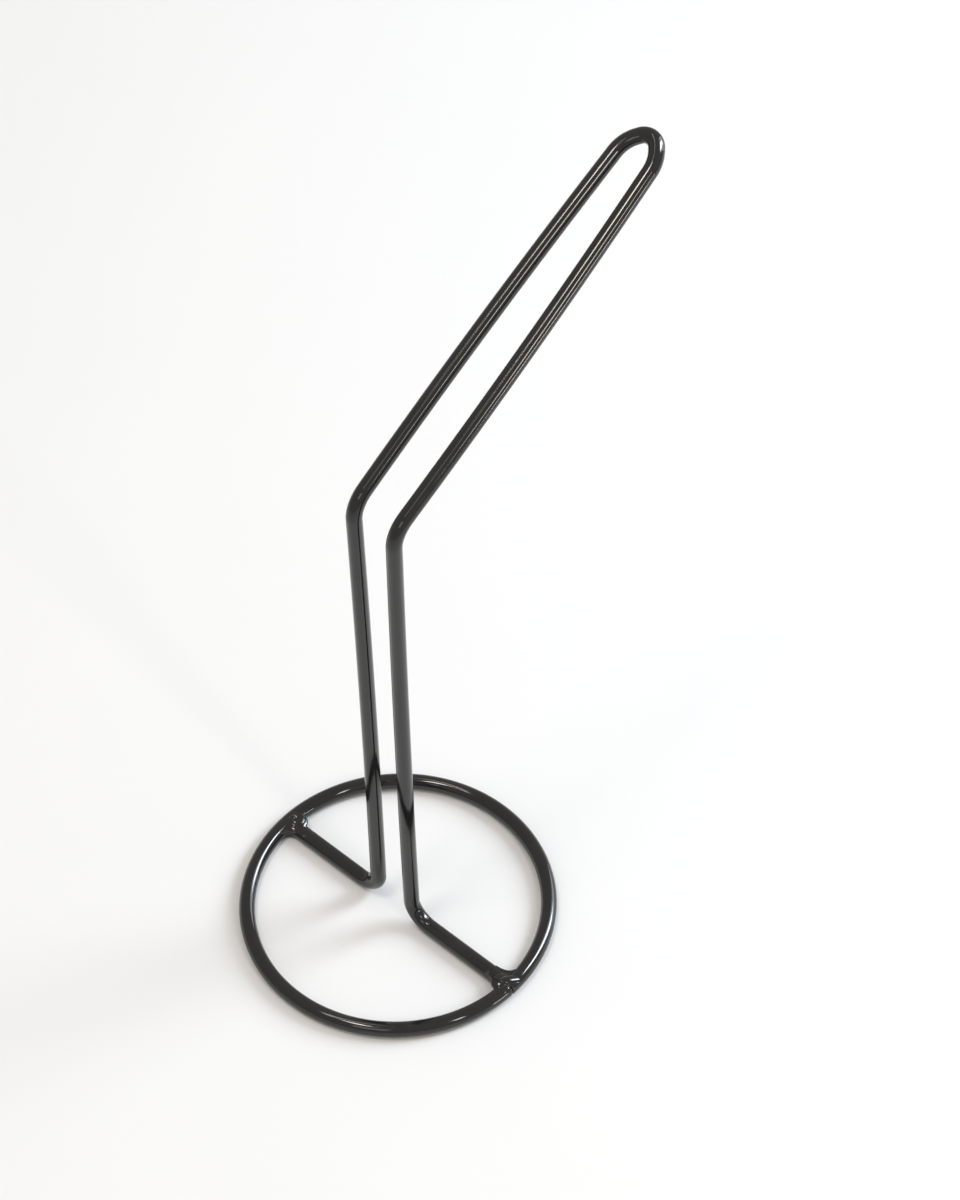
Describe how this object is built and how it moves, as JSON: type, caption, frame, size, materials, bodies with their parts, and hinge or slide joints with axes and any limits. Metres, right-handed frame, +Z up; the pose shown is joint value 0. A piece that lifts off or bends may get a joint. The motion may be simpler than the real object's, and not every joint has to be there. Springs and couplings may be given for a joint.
{
  "type": "eyeglasses display stand",
  "caption": "Bent round wire stand: a flat hoop base, two close upright legs and a slanted hairpin arm that holds spectacles by the bridge.",
  "frame": {"origin": "centre of the hoop, on the surface that the stand rests on", "axes": "+Z up; +X along the right foot, towards the hoop's seam; +Y the way the slanted arms reach"},
  "size_m": [0.1, 0.174, 0.2616],
  "materials": {
    "coated_wire": "glossy black stove enamel on steel wire",
    "coated_weld": "glossy black stove enamel pooled over weld metal"
  },
  "bodies": {
    "root": {"base_hoop": "coated_wire", "upright_wire": "coated_wire", "hoop_seam_weld": "coated_weld", "right_foot_weld": "coated_weld", "left_foot_weld": "coated_weld"}
  },
  "joints": []
}
